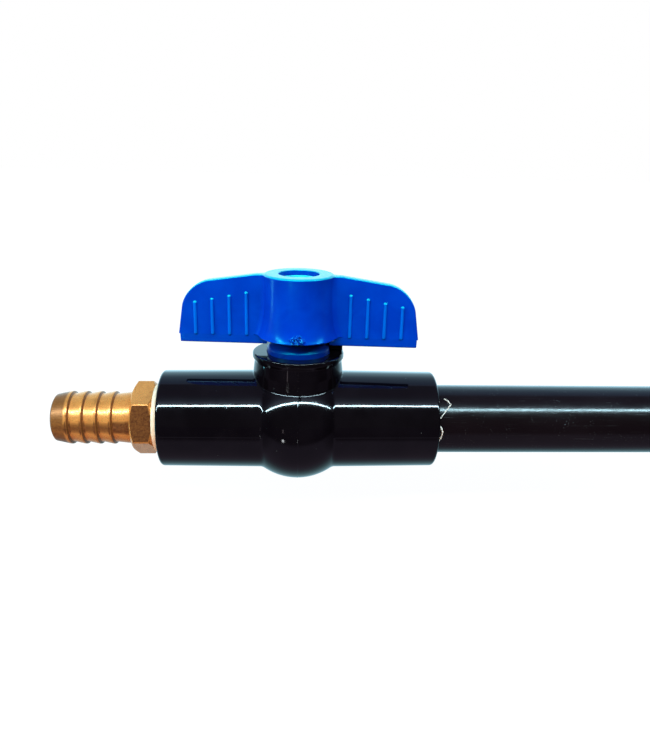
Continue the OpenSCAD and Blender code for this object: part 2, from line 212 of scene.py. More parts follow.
def cell_vertices(values, planes):
    """One vertex in each cell that the surface crosses, and the quads between them."""
    inside = values < 0
    shape = np.array(values.shape) - 1
    cells, points, quads = [], [], []
    for axis in range(3):
        u, v = (axis + 1) % 3, (axis + 2) % 3
        first = [slice(None)] * 3
        second = [slice(None)] * 3
        first[axis] = slice(0, -1)
        second[axis] = slice(1, None)
        crossing = np.argwhere(inside[tuple(first)] != inside[tuple(second)])
        keep = (crossing[:, u] > 0) & (crossing[:, v] > 0)
        keep &= (crossing[:, u] < shape[u]) & (crossing[:, v] < shape[v])
        crossing = crossing[keep]
        ahead = crossing.copy()
        ahead[:, axis] += 1
        start = values[tuple(crossing.T)]
        end = values[tuple(ahead.T)]
        part = start / (start - end)
        where = np.stack([planes[k][crossing[:, k]] for k in range(3)], 1)
        where[:, axis] += part * (planes[axis][ahead[:, axis]] - planes[axis][crossing[:, axis]])
        corners = []
        for du, dv in ((0, 0), (1, 0), (1, 1), (0, 1)):
            cell = crossing.copy()
            cell[:, u] -= du
            cell[:, v] -= dv
            index = np.ravel_multi_index(tuple(cell.T), tuple(shape))
            corners.append(index)
            cells.append(index)
            points.append(where)
        quad = np.stack(corners, 1)
        quad[start > 0] = quad[start > 0][:, ::-1]
        quads.append(quad)
    ids, inverse = np.unique(np.concatenate(cells), return_inverse=True)
    count = np.bincount(inverse)
    points = np.concatenate(points)
    verts = np.stack([np.bincount(inverse, points[:, k]) / count for k in range(3)], 1)
    faces = np.searchsorted(ids, np.concatenate(quads))
    return verts, faces


def slope(field, points, step=0.01):
    """Gradient of a field at points."""
    out = np.empty_like(points)
    for k in range(3):
        shift = np.zeros(3)
        shift[k] = step
        high, low = points + shift, points - shift
        out[:, k] = (field(*high.T) - field(*low.T)) / (2 * step)
    return out


def pull_to_surface(field, points, limit, rounds=4):
    """Moves points along the field's slope until they lie on its surface."""
    for _ in range(rounds):
        g = slope(field, points)
        size = np.maximum((g * g).sum(1), 1e-6)
        move = -(field(*points.T) / size)[:, None] * g
        length = np.linalg.norm(move, axis=1)
        move *= np.minimum(1, limit / np.maximum(length, 1e-9))[:, None]
        points = points + move
    return points


def relax(points, faces, share=0.5):
    """Moves each point part of the way to the middle of its neighbours."""
    total = np.zeros_like(points)
    count = np.zeros(len(points))
    for a, b in ((0, 1), (1, 2), (2, 3), (3, 0)):
        for p, q in ((faces[:, a], faces[:, b]), (faces[:, b], faces[:, a])):
            for k in range(3):
                total[:, k] += np.bincount(p, points[q, k], len(points))
            count += np.bincount(p, minlength=len(points))
    return points + share * (total / count[:, None] - points)


def surface_of(field, xs, ys, zs, limit=0.2):
    """Points, quads and normals of the surface where a field is zero."""
    grid = np.meshgrid(xs, ys, zs, indexing="ij", sparse=True)
    values = np.broadcast_to(field(*grid), (len(xs), len(ys), len(zs)))
    points, faces = cell_vertices(values, (xs, ys, zs))
    points = pull_to_surface(field, points, limit)
    points = pull_to_surface(field, relax(points, faces), limit)
    normals = slope(field, points)
    normals /= np.maximum(np.linalg.norm(normals, axis=1), 1e-9)[:, None]
    return points, faces, normals


def smooth_step(low, high, value):
    t = np.clip((value - low) / (high - low), 0, 1)
    return t * t * (3 - 2 * t)


# ---------------------------------------------------------------- valve body

def thread_wave(x, y, z):
    """0 at the root and 1 on the crest of the helical pipe thread."""
    turn = x / THREAD_PITCH - np.arctan2(z, y) / (2 * np.pi)
    part = np.abs(turn - np.floor(turn) - 0.5)
    return np.clip((0.42 - part) / 0.34, 0, 1)


def tube_field(x, y, z):
    """Both tubes with their mould seam in the horizontal plane."""
    seam = SEAM_H * np.exp(-((z / 0.12) ** 2))
    wall = TUBE_MID_R - (TUBE_MID_R - TUBE_END_R) * np.abs(x) / SOCKET_END
    ends = np.maximum(x - SOCKET_END, THREAD_END - x)
    return round_common(np.hypot(y, z) - wall - seam, ends, TUBE_ROUND)


def bulge_field(x, y, z):
    """The round bulge over the ball, with its seam in the plane across the pipe."""
    seam = SEAM_H * np.exp(-((x / 0.12) ** 2))
    return np.sqrt(x * x + y * y + z * z) - BULGE_R - seam


def neck_field(x, y, z):
    """The stem housing, which tapers in to a slanting groove under its rim."""
    rim_z = NECK_TOP - RIM_H
    groove_z = rim_z - GROOVE_H
    wall = np.interp(z, (groove_z - NECK_TAPER_H, groove_z, rim_z), (NECK_R, GROOVE_R, RIM_R))
    seam = SEAM_H * np.exp(-((x / 0.12) ** 2))
    neck = round_common(np.hypot(x, y) - wall - seam, z - NECK_TOP, 0.35)
    return np.maximum(neck, -z)


def stop_wall(x, y, z):
    """The quarter wall on the rim that the wings meet when open and when shut."""
    around = np.hypot(x, y)
    ring = np.maximum(around - RIM_R + 0.05, STOP_IN_R - around)
    ring = round_common(ring, np.maximum(STOP_END - x, STOP_END - y), 0.15)
    return np.maximum(round_common(ring, z - STOP_TOP, 0.3), NECK_TOP - 1 - z)


def stretch_of_bore(across, r, x, start, end):
    """A round bore of radius r between two stations."""
    return np.maximum(across - r, np.maximum(start - x, x - end))


def body_hollow(x, y, z):
    """Everything that is cut out of the body, from the thread to the socket."""
    across, around = np.hypot(y, z), np.hypot(x, y)
    thread_r = THREAD_CREST_R + THREAD_GAP - THREAD_DEPTH * (1 - thread_wave(x, y, z))
    socket_r = PIPE_R + 0.03 - SOCKET_TAPER * (TAPER_END - x) / (TAPER_END - PIPE_STOP)
    hollow = stretch_of_bore(across, thread_r, x, THREAD_END - 5, THREAD_BOTTOM)
    for r, start, end in (
        (TAPE_R, THREAD_END - 5, TAPE_IN),
        (FLOW_R, THREAD_BOTTOM - 1, 0),
        (SEAT_POCKET_R, SEAT_POCKET_X, 0),
        (carrier_high[2], SEAT_POCKET_X + 4, PIPE_STOP),
        (socket_r, PIPE_STOP, SOCKET_END + 5),
    ):
        hollow = np.minimum(hollow, stretch_of_bore(across, r, x, start, end))
    stem_bore = stretch_of_bore(around, STEM_BORE_R, z, 0, NECK_FLOOR + 0.4)
    neck_bore = stretch_of_bore(around, COLLAR_R + 0.03, z, NECK_FLOOR, NECK_TOP + 5)
    return np.minimum(hollow, np.minimum(stem_bore, neck_bore))


def mismatch_pit(x, y, z):
    """The narrow pit at the housing's foot where the two mould halves meet."""
    away = ((x - 0.45) / 0.25) ** 2 + ((y + 14.2) / 0.6) ** 2 + ((z - 12.1) / 1.1) ** 2
    return np.sqrt(away) * 0.25 - 0.25


def body_field(x, y, z):
    shell = round_union(tube_field(x, y, z), bulge_field(x, y, z), TUBE_FILLET)
    shell = round_union(shell, neck_field(x, y, z), NECK_FILLET)
    shell = round_union(shell, stop_wall(x, y, z), 0.3)
    shell = round_cut(shell, mismatch_pit(x, y, z), 0.1)
    return round_cut(shell, body_hollow(x, y, z), 0.2)


def build_body(material):
    fine_ends = [(THREAD_END, 0.9, 0.22), (SOCKET_END, 0.9, 0.22)]
    thread = [((THREAD_END + THREAD_BOTTOM) / 2, 9, 0.38)]
    xs = graded(THREAD_END - 0.6, SOCKET_END + 0.6, 0.62, [(0, 0.25, 0.07), *fine_ends, *thread])
    ys = graded(-19.2, 19.2, 0.6, [(-14, 1.5, 0.4), (14, 1.5, 0.4), (STOP_END, 0.3, 0.3)])
    rim = (NECK_TOP - 1.2, 1.3, 0.2)
    top = (STOP_TOP, 0.2, 0.25)
    zs = graded(-19.2, STOP_TOP + 0.5, 0.6, [(0, 0.25, 0.07), (12.5, 1.2, 0.28), rim, top])
    points, faces, normals = surface_of(body_field, xs, ys, zs)
    return new_piece("valve_body_shell", points, faces, LINE_BODY, material,
                     "valve_body", normals)


# ---------------------------------------------------------------- handle

def hub_radius(z):
    """The hub's waist: a bell mouth at the bottom and a slight flare at the top."""
    return 9.93 + 2.27 * np.exp(-(z - HUB_BOTTOM) / 4) + 0.42 * np.exp((z - 45) / 2.2)


def wing_outline(x, z):
    """The wings seen from the front, both at once."""
    x = np.abs(x)
    side = np.where(z > PARTING_Z, x - 35.95 + 0.15 * (z - PARTING_Z), x - 35.6)
    top = z - WING_TOP_Z + WING_SLOPE * np.maximum(x, 12.6)
    edge = round_common(side * 0.989, top * 0.989, WING_CORNER_R)
    return np.maximum(edge, WING_BOTTOM - z)


def wing_half_thickness(z):
    """Half the wings' thickness: widest at the mould's parting line."""
    above = WING_HALF_T - 0.011 * (z - PARTING_Z)
    below = WING_HALF_T - 0.05 - 0.1 * (PARTING_Z - z)
    return np.where(z > PARTING_Z, above, below)


def grip_ribs(x, y, z):
    """The four half-round ribs on each face of each wing."""
    x, y = np.abs(x), np.abs(y)
    ribs = np.full(np.broadcast(x, y, z).shape, 9.0)
    for i in range(4):
        middle = RIB_FIRST + RIB_PITCH * i
        top = 39.5 - 1.03 * i
        depth = wing_half_thickness(z) - 0.03
        along = np.clip(z, 27.5, top)
        ribs = np.minimum(ribs, np.sqrt((x - middle) ** 2 + (y - depth) ** 2 + (z - along) ** 2) - 0.58)
    return ribs


def gate_scar(x, y, z):
    """The torn stub where the handle was broken off its runner: flat chips and two pits."""
    u, out, w = x - 0.25, -12.0 - y, 1.55 * (z - 28.35)
    stub = out - 0.75 + 0.2 * u
    for k in range(7):
        turn = 0.9 * k + 0.3 * math.sin(4 * k)
        lean = 0.75 + 0.3 * (k % 3)
        across = math.cos(turn) * u + math.sin(turn) * w
        stub = np.maximum(stub, math.sin(lean) * across + math.cos(lean) * out - 1.45)
    for pit_x, pit_z, size in ((-0.6, 28.8, 0.62), (0.85, 28.0, 0.55)):
        pit = np.sqrt((x - pit_x) ** 2 + (y + 12.95) ** 2 + 1.7 * (z - pit_z) ** 2) - size
        stub = round_cut(stub, pit, 0.05)
    return np.maximum(stub, y + 10.5)


def drive_hollow(x, y, z):
    """Everything cut out of the hub: skirt, drive square, screw hole, well and cap recess."""
    around = np.hypot(x, y)
    skirt = np.maximum(np.maximum(around - SKIRT_R, BOSS_R - around), z - 31.5)
    below_boss = np.maximum(around - SKIRT_R, z - 25.9)
    square = np.maximum(np.maximum(np.abs(x), np.abs(y)) - DRIVE_HALF, z - 37)
    screw = around - SCREW_HOLE_R
    well = np.maximum(around - WELL_R, WELL_FLOOR - z)
    recess = round_common(around - cap_high[0] - 0.03, CAP_LEDGE - z, 0.1)
    hollow = np.minimum(np.minimum(skirt, below_boss), np.minimum(square, screw))
    return np.minimum(hollow, np.minimum(well, recess))


def handle_field(x, y, z):
    """The handle in its own frame, with the wings along X."""
    around = np.hypot(x, y)
    slab = np.abs(y) - wing_half_thickness(z)
    wall = around - hub_radius(z)
    high = np.maximum(round_union(wall, slab, 1.5), HUB_BOTTOM - z)
    low = np.maximum(np.maximum(slab, 9.3 - np.abs(x)), z - HUB_BOTTOM - 1)
    wings = round_common(np.minimum(high, low), wing_outline(x, z), 0.45)
    wings = round_union(wings, grip_ribs(x, y, z), 0.12)
    hub = round_common(wall, z - HUB_TOP, 0.8)
    hub = round_common(hub, HUB_BOTTOM - z, 0.3)
    solid = round_union(wings, hub, 0.25)
    solid = round_union(solid, gate_scar(x, y, z), 0.12)
    return round_cut(solid, drive_hollow(x, y, z), 0.25)


def build_handle(material):
    ribs = [(side * (RIB_FIRST + RIB_PITCH * i), 0.6, 0.2) for i in range(4) for side in (-1, 1)]
    tips = [(-35, 1.4, 0.25), (35, 1.4, 0.25)]
    roots = [(-10.2, 0.6, 0.3), (10.2, 0.6, 0.3)]
    xs = graded(-36.6, 36.6, 0.55, [*ribs, *tips, (0.3, 1.9, 0.16), *roots])
    wing_faces = [(-2, 0.5, 0.16), (2, 0.5, 0.16)]
    ys = graded(-13.6, 13.2, 0.55, [*wing_faces, (-12, 0.9, 0.18)])
    scar, hub_rim, rib_tops = (28.2, 1.2, 0.16), (44.5, 1.4, 0.2), (38.1, 1.7, 0.3)
    zs = graded(WING_BOTTOM - 0.6, HUB_TOP + 0.6, 0.6, [(PARTING_Z, 2, 0.2), scar, hub_rim, rib_tops])
    points, faces, normals = surface_of(handle_field, xs, ys, zs)
    turn = np.array(Matrix.Rotation(HANDLE_TURN, 3, "Z"))
    return new_piece("handle_shell", points @ turn.T, faces, HANDLE_BODY, material,
                     "handle", normals @ turn.T)


# ---------------------------------------------------------------- turned pieces

def outline(corners, longest):
    """A closed outline from (station, radius, rounding) corners, in short sides."""
    out = []
    count = len(corners)
    for k in range(count):
        here = np.array(corners[k][:2], float)
        to_before = np.array(corners[k - 1][:2], float) - here
        to_after = np.array(corners[(k + 1) % count][:2], float) - here
        size_b, size_a = np.linalg.norm(to_before), np.linalg.norm(to_after)
        turn = np.clip(to_before @ to_after / (size_b * size_a), -1, 1)
        reach = corners[k][2] / max(math.tan(math.acos(turn) / 2), 1e-3)
        reach = min(reach, 0.45 * size_b, 0.45 * size_a)
        start = here + to_before / size_b * reach
        end = here + to_after / size_a * reach
        steps = np.linspace(0, 1, 5) if reach > 0.02 else [0.5]
        out += [(1 - t) ** 2 * start + 2 * t * (1 - t) * here + t * t * end for t in steps]
    return spread(out, longest)


def spread(points, longest):
    """An outline with extra points, so that no side is longer than that."""
    out = []
    for k, here in enumerate(points):
        after = points[(k + 1) % len(points)]
        size = longest(0.5 * (here + after))
        parts = max(1, math.ceil(np.linalg.norm(after - here) / size))
        out += [here + (after - here) * t / parts for t in range(parts)]
    return out


def lathe(name, stations, radius, body, material, replaces, around=240, axis="X"):
    """A closed turned piece from a closed outline of (station, radius) points."""
    angle = np.linspace(0, 2 * np.pi, around, endpoint=False)
    rings = []
    for along, r in stations:
        wall = radius(along, r, angle)
        first, second = wall * np.sin(angle), wall * np.cos(angle)
        flat = np.full(around, float(along))
        rings.append(np.stack([flat, first, second] if axis == "X" else [first, second, flat], 1))
    ring = np.arange(around)
    after = (ring + 1) % around
    faces = []
    for k in range(len(stations)):
        a, b = k * around, ((k + 1) % len(stations)) * around
        faces.append(np.stack([a + ring, b + ring, b + after, a + after], 1))
    piece = new_piece(name, np.concatenate(rings), np.concatenate(faces), body, material,
                      replaces)
    tidy_mesh(piece.data)
    return piece


def tidy_mesh(mesh):
    """Faces all turned outwards, with creases kept where the surface turns sharply."""
    shell = bmesh.new()
    shell.from_mesh(mesh)
    bmesh.ops.recalc_face_normals(shell, faces=shell.faces)
    shell.to_mesh(mesh)
    shell.free()
    mesh.set_sharp_from_angle(angle=math.radians(50))


def same_radius(along, r, angle):
    return np.full_like(angle, r)


def hexagon(angle):
    """Distance from the axis to the hexagon's side, with its corners slightly worn."""
    first_flat = math.radians(30) - HEX_TURN
    off = np.mod(angle - first_flat + math.radians(30), math.radians(60)) - math.radians(30)
    corner = np.exp(-(((math.radians(30) - np.abs(off)) / math.radians(0.9)) ** 2))
    return HEX_AF / 2 / np.cos(off) - 0.07 * corner


def tail_radius(x, r, angle):
    """Turned below the hexagon, six-sided on it, and threaded beyond the tape."""
    if r < TAIL_BORE_R + 0.6:
        return np.full_like(angle, r)
    if x < HEX_NEAR + 0.05:
        return np.minimum(r, hexagon(angle))
    if x > TAPE_IN:
        y, z = np.sin(angle), np.cos(angle)
        run_out = smooth_step(TAPE_IN, TAPE_IN + 0.8, x) * smooth_step(THREAD_TIP, THREAD_TIP - 1.2, x)
        return r - THREAD_DEPTH * (1 - thread_wave(x, y, z) * run_out)
    return np.full_like(angle, r)


def grip_corners():
    """The hose grip from the tip to the hexagon: four rounded crests with long ramps."""
    corners = [(TAIL_TIP, 6.55, 0.15), (TAIL_TIP + 0.45, 7.25, 0.3)]
    for i in range(4):
        start = TAIL_TIP + FIRST_CREST + i * CREST_PITCH
        corners += [(start + 0.05, CREST_R + 0.03, 0.8), (start + 0.6, CREST_R, 0.4),
                    (start + 1.0, VALLEY_R - 0.05, 0.2), (start + 1.5, VALLEY_R, 0.6)]
    return corners


def build_tail(material):
    hex_r = HEX_AF / 2 / math.cos(math.radians(30)) + 0.1
    corners = [
        *grip_corners(),
        (HEX_FAR - 1.6, 7.93, 1), (HEX_FAR - 0.001, 7.93, 0.12), (HEX_FAR, 9.7, 0.1),
        (HEX_FAR + 1.2, hex_r, 0.1), (HEX_NEAR - 0.9, hex_r, 0.1),
        (HEX_NEAR - 0.12, THREAD_CREST_R, 0.1), (TAPE_IN, THREAD_CREST_R, 0),
        (THREAD_TIP, THREAD_CREST_R, 0), (THREAD_TIP, TAIL_BORE_R + 0.5, 0.1),
        (THREAD_TIP - 0.5, TAIL_BORE_R, 0.1),
        (TAIL_TIP + 0.4, TAIL_BORE_R, 0.1), (TAIL_TIP, TAIL_BORE_R + 0.4, 0.1),
    ]

    def longest(place):
        if place[1] < TAIL_BORE_R + 0.3:
            return 3.0
        return 0.17 if place[0] > TAPE_IN else 0.34

    return lathe("hose_tail_brass", outline(corners, longest), tail_radius, LINE_BODY,
                 material, "hose_tail", around=280)


def tape_radius(x, r, angle):
    """Wound layers: wavy edges where one wrap ends on the last, and fine crinkles."""
    if r < THREAD_CREST_R + 0.1:
        return np.full_like(angle, r)
    wall = np.full_like(angle, r - 0.3)
    wraps = ((0.35, 0.16, 1.0), (1.05, -0.07, 2.3), (1.75, 0.13, 0.4), (2.45, -0.06, 4.1),
             (3.0, 0.1, 5.2))
    for start, height, phase in wraps:
        wave = 0.13 * np.sin(2 * angle + phase) + 0.07 * np.sin(7 * angle + 3 * phase)
        wave += 0.04 * np.sin(19 * angle + 5 * phase)
        edge = TAPE_OUT + start + wave
        wall += height * smooth_step(edge - 0.06, edge + 0.06, x)
    crinkle = np.sin(23 * angle + 6 * x) * np.sin(11 * x + 5 * angle)
    return np.minimum(wall + 0.02 * crinkle, TAPE_R)


def build_tape(material):
    inner = THREAD_CREST_R + 0.01
    corners = [(TAPE_OUT + 0.02, inner, 0), (TAPE_OUT + 0.02, TAPE_R, 0.12),
               (TAPE_IN, TAPE_R, 0.12), (TAPE_IN, inner, 0)]
    stations = outline(corners, lambda place: 2.0 if place[1] < inner + 0.05 else 0.07)
    return lathe("ptfe_tape_wraps", stations, tape_radius, LINE_BODY, material,
                 "ptfe_tape", around=360)


def pipe_radius(x, r, angle):
    """Round, with a slightly torn burr at the sawn end."""
    burr = 0.05 * np.sin(9 * angle + 1) * np.sin(23 * angle) * smooth_step(PIPE_END - 0.6, PIPE_END, x)
    return r - np.abs(burr)


def build_pipe(material):
    corners = [
        (PIPE_STOP, PIPE_R - SOCKET_TAPER, 0.1), (TAPER_END, PIPE_R, 0), (PIPE_END - 0.35, PIPE_R, 0.1),
        (PIPE_END, PIPE_R - 0.3, 0.08), (PIPE_END, PIPE_BORE_R + 0.25, 0.08),
        (PIPE_END - 0.3, PIPE_BORE_R, 0.1), (PIPE_STOP, PIPE_BORE_R, 0.1),
    ]
    stations = outline(corners, lambda place: 0.3 if place[0] > PIPE_END - 1 else 2.5)
    return lathe("pipe_wall", stations, pipe_radius, LINE_BODY, material, "pipe")


def build_collar(material):
    low, top, lip = collar_low[2], 24.0, collar_high[2]
    corners = [
        (low, 6.0, 0.15), (low, COLLAR_R, 0.3), (top - 0.5, COLLAR_R, 0.5), (top + 0.1, 9.0, 0.4),
        (lip - 0.2, 7.75, 0.3), (lip, 7.4, 0.2), (lip, 6.0, 0.15),
    ]
    stations = outline(corners, lambda place: 0.35)
    return lathe("gland_collar_ring", stations, same_radius, LINE_BODY, material,
                 "gland_collar", around=200, axis="Z")


def build_cap(material):
    """A plain cap with one raised ring; its spigot clips into the hub's well."""
    r, face, ledge, foot = cap_high[0], cap_high[2], CAP_LEDGE, cap_low[2]
    centre, spigot_r, hollow_r = 0.02, WELL_R - 0.03, 3.9
    floor = face - 0.12
    corners = [
        (floor, centre, 0), (floor, 3.0, 0.1), (face, 3.2, 0.1), (face, 3.7, 0.1),
        (floor, 3.9, 0.1), (floor, r - 0.9, 0.15), (face, r - 0.6, 0.15), (face, r, 0.2),
        (ledge, r, 0.1), (ledge, spigot_r, 0.05), (foot, spigot_r, 0.2), (foot, hollow_r, 0.2),
        (ledge + 0.5, hollow_r, 0.1), (ledge + 0.5, centre, 0),
    ]
    stations = outline(corners, lambda place: 0.4)
    return lathe("handle_cap_disc", stations, same_radius, HANDLE_BODY, material,
                 "handle_cap", around=160, axis="Z")


# ---------------------------------------------------------------- cement

BEAD_RUNS = (
    [(44.6, 56), (45.7, 52), (46.5, 45.5), (44.8, 34.5), (43.2, 23), (42.6, 20.5)],
    [(42.9, 10.5), (43.5, 6), (43.8, 0), (43.8, -5), (43.5, -12), (43.0, -18), (42.6, -22)],
)


def run_distance(x, y, z, start, end):
    """Distance from the straight run between two points, and the share of the way along."""
    along = end - start
    t = ((x - start[0]) * along[0] + (y - start[1]) * along[1] + (z - start[2]) * along[2])
    t = np.clip(t / (along @ along), 0, 1)
    return np.sqrt(sum((p - s - t * a) ** 2 for p, s, a in zip((x, y, z), start, along))), t


def cement_field(x, y, z):
    """A lip of cement round the socket's mouth with two thin runs on the pipe."""
    across, angle = np.hypot(y, z), np.arctan2(z, -y)
    swell = 0.1 * np.sin(3 * angle + 1) + 0.07 * np.sin(8 * angle) + 0.04 * np.sin(17 * angle + 2)
    lip = np.hypot(x - SOCKET_END - 0.02, across - PIPE_R - 0.02) - 0.5 - swell
    solid = np.maximum(lip, SOCKET_END - 0.01 - x)
    lift = PIPE_R + 0.08
    for run, swollen in zip(BEAD_RUNS, (0, 0.1)):
        points = [np.array([s, -lift * math.cos(math.radians(a)), lift * math.sin(math.radians(a))])
                  for s, a in run]
        for start, end in zip(points, points[1:]):
            away, t = run_distance(x, y, z, start, end)
            thick = 0.17 + 0.03 * np.sin(4 * x + 9 * angle) + swollen * np.exp(-((z / 1.6) ** 2))
            solid = round_union(solid, away - thick, 0.12)
    return np.maximum(solid, PIPE_R - 0.03 - across)


def build_cement(material):
    reach = PIPE_R + 0.9
    xs = graded(SOCKET_END - 0.3, SOCKET_END + 5.2, 0.13)
    ys = graded(-reach, reach, 0.16, [(-PIPE_R, 1.5, 0.11)])
    zs = graded(-reach, reach, 0.14)
    points, faces, normals = surface_of(cement_field, xs, ys, zs, limit=0.08)
    return new_piece("cement_lip", points, faces, LINE_BODY, material, "cement_bead", normals)


# ---------------------------------------------------------------- materials

class Nodes:
    """Short calls for the nodes of one tree."""

    def __init__(self, tree):
        self.tree = tree

    def plug(self, value, socket):
        """Links a socket to another, or sets its value."""
        if isinstance(value, bpy.types.NodeSocket):
            self.tree.links.new(value, socket)
        else:
            socket.default_value = value

    def node(self, kind, inputs=None, **settings):
        made = self.tree.nodes.new("ShaderNode" + kind)
        for key, value in settings.items():
            setattr(made, key, value)
        for key, value in (inputs or {}).items():
            self.plug(value, made.inputs[key])
        return made

    def math(self, operation, a, b=0.0):
        return self.node("Math", {0: a, 1: b}, operation=operation).outputs[0]

    def both(self, *masks):
        """The product of masks or shares."""
        out = masks[0]
        for mask in masks[1:]:
            out = self.math("MULTIPLY", out, mask)
        return out

    def span(self, value, low, high, start, end, interpolation_type="LINEAR"):
        """start below low, end above high."""
        inputs = {"Value": value, "From Min": low, "From Max": high, "To Min": start, "To Max": end}
        return self.node("MapRange", inputs, interpolation_type=interpolation_type).outputs["Result"]

    def ramp(self, value, low, high):
        """0 below low, 1 above high."""
        return self.span(value, low, high, 0, 1, "SMOOTHSTEP")


class Paint(Nodes):
    """A material's node tree, with short calls for the nodes that it is made of.

    Sizes are in millimetres: noise(3) has features about 3 mm across."""

    def __init__(self, name, **sockets):
        self.material = bpy.data.materials.new(name)
        self.material.use_nodes = True
        super().__init__(self.material.node_tree)
        self.shader = self.tree.nodes["Principled BSDF"]
        self.place = self.node("TexCoord").outputs["Object"]
        for socket, value in sockets.items():
            self.shader.inputs[socket.replace("_", " ")].default_value = value

    def geometry(self, output):
        return self.node("NewGeometry").outputs[output]

    def axis(self, vector, name):
        return self.node("SeparateXYZ", {"Vector": vector}).outputs[name]

    def facing(self, elevation, low, high):
        """1 where the surface faces the front at that elevation in degrees."""
        e = math.radians(elevation)
        inputs = {0: self.geometry("Normal"), 1: (0, -math.cos(e), math.sin(e))}
        towards = self.node("VectorMath", inputs, operation="DOT_PRODUCT").outputs["Value"]
        return self.ramp(towards, low, high)

    def near(self, centre, reach):
        """1 near a point, 0 beyond reach, both in millimetres."""
        inputs = {0: self.place, 1: [c * MM for c in centre]}
        away = self.node("VectorMath", inputs, operation="DISTANCE").outputs["Value"]
        return self.ramp(away, reach * MM, 0.7 * reach * MM)

    def noise(self, size, detail=3.0, rough=0.5, stretch=(1, 1, 1), warp=0.0):
        """Clouds about size across, drawn out along the axes whose stretch is below 1."""
        place = self.node("Mapping", {"Vector": self.place, "Scale": stretch}).outputs["Vector"]
        inputs = {"Vector": place, "Scale": 1 / (size * MM), "Detail": detail, "Roughness": rough,
                  "Distortion": warp}
        return self.node("TexNoise", inputs).outputs["Fac"]

    def dots(self, size):
        """Distance from scattered points, about size apart, as a share of that size."""
        inputs = {"Vector": self.place, "Scale": 1 / (size * MM)}
        return self.node("TexVoronoi", inputs).outputs["Distance"]

    def mix(self, share, a, b):
        """Colour a, with colour b laid over it by share."""
        made = self.node("Mix", data_type="RGBA")
        for index, value in ((0, share), (6, a), (7, b)):
            self.plug(value, made.inputs[index])
        return made.outputs[2]

    def set(self, socket, value):
        self.tree.links.new(value, self.shader.inputs[socket])

    def relief(self, *layers):
        """Bump from (height, depth in millimetres) layers."""
        normal = None
        for height, depth in layers:
            inputs = {"Height": height, "Distance": depth * MM, "Strength": 1.0}
            if normal is not None:
                inputs["Normal"] = normal
            normal = self.node("Bump", inputs).outputs["Normal"]
        self.set("Normal", normal)


def rgb(r, g, b):
    return (r, g, b, 1.0)


def black_pvc():
    """Injection-moulded black PVC: glossy, faint flow marks, orange peel and a little dust."""
    p = Paint("black_pvc", Specular_IOR_Level=0.5, Specular_Tint=rgb(0.92, 0.97, 1.0))
    clouds = p.noise(9, 4)
    colour = p.mix(p.ramp(clouds, 0.35, 0.7), rgb(0.0016, 0.0009, 0.0015), rgb(0.0028, 0.0018, 0.0027))
    specks = p.ramp(p.dots(3.1), 0.05, 0.03)
    some = p.ramp(p.noise(5, 2), 0.56, 0.62)
    dust = p.both(specks, some)
    colour = p.mix(p.both(dust, 0.35), colour, rgb(0.2, 0.2, 0.2))
    p.set("Base Color", colour)
    p.set("Roughness", p.span(p.noise(2.2, 5, 0.6), 0.3, 0.7, 0.05, 0.09))
    flow = p.noise(1.6, 2, 0.5, stretch=(0.25, 1, 1), warp=0.6)
    p.relief((flow, 0.007), (p.noise(0.5, 2), 0.001), (dust, 0.02))
    return p.material


def black_pipe():
    """Extruded black PVC pipe: duller than the valve, with lengthwise scuffs and dust."""
    p = Paint("pipe_black", Specular_IOR_Level=0.5, Specular_Tint=rgb(0.85, 0.97, 1.0))
    clouds = p.noise(12, 4, stretch=(0.4, 1, 1))
    colour = p.mix(p.ramp(clouds, 0.35, 0.7), rgb(0.0034, 0.0014, 0.0019), rgb(0.0052, 0.0026, 0.0034))
    lines = p.noise(0.28, 3, 0.6, stretch=(0.015, 1, 1))
    scuffs = p.both(p.ramp(lines, 0.6, 0.72), p.ramp(p.noise(7, 3), 0.45, 0.65))
    specks = p.math("MAXIMUM", p.ramp(p.dots(1.5), 0.12, 0.06), p.ramp(p.dots(0.7), 0.16, 0.1))
    dust = p.both(specks, p.ramp(p.noise(4, 3), 0.48, 0.6))
    colour = p.mix(p.both(scuffs, 0.12), colour, rgb(0.16, 0.17, 0.17))
    colour = p.mix(p.both(dust, 0.14), colour, rgb(0.2, 0.21, 0.2))
    p.set("Base Color", colour)
    rough = p.span(p.noise(3, 4, 0.6, stretch=(0.3, 1, 1)), 0.3, 0.7, 0.15, 0.22)
    p.set("Roughness", p.math("ADD", rough, p.both(scuffs, 0.15)))
    p.relief((lines, 0.006), (p.noise(0.35, 2), 0.003), (dust, 0.02))
    return p.material


def painted_rib_highlight(p, colour):
    """A painted highlight: the crowns of the wings' ribs painted paler."""
    in_handle = p.node("VectorRotate", {"Vector": p.place, "Angle": -HANDLE_TURN},
                       rotation_type="Z_AXIS").outputs["Vector"]
    out = p.math("ABSOLUTE", p.axis(in_handle, "Y"))
    along = p.math("ABSOLUTE", p.axis(in_handle, "X"))
    crown = p.ramp(out, (WING_HALF_T + 0.1) * MM, (WING_HALF_T + 0.4) * MM)
    past_root = p.ramp(along, (RIB_FIRST - 2.2) * MM, (RIB_FIRST - 1.8) * MM)
    # painted highlight: the rib crowns are painted a paler blue
    return p.mix(p.both(crown, past_root, 0.75), colour, rgb(0.0, 0.12, 0.6))


def painted_top_light_under_shade(p, colour, painted_top_light):
    """Painted light on upward faces high on the piece, and painted shade on downward faces."""
    upward = p.axis(p.geometry("Normal"), "Z")
    high_up = p.ramp(p.axis(p.place, "Z"), 33 * MM, 36 * MM)
    mottle = p.span(p.noise(0.8, 3), 0.3, 0.7, 0.8, 1)
    # painted light: upward faces above 33 mm turn paler
    colour = p.mix(p.both(p.ramp(upward, 0.2, 0.6), high_up, mottle), colour, rgb(*painted_top_light))
    # painted shade: downward faces turn darker
    return p.mix(p.both(p.ramp(upward, -0.6, -0.9), 0.7), colour, rgb(0.0, 0.004, 0.03))


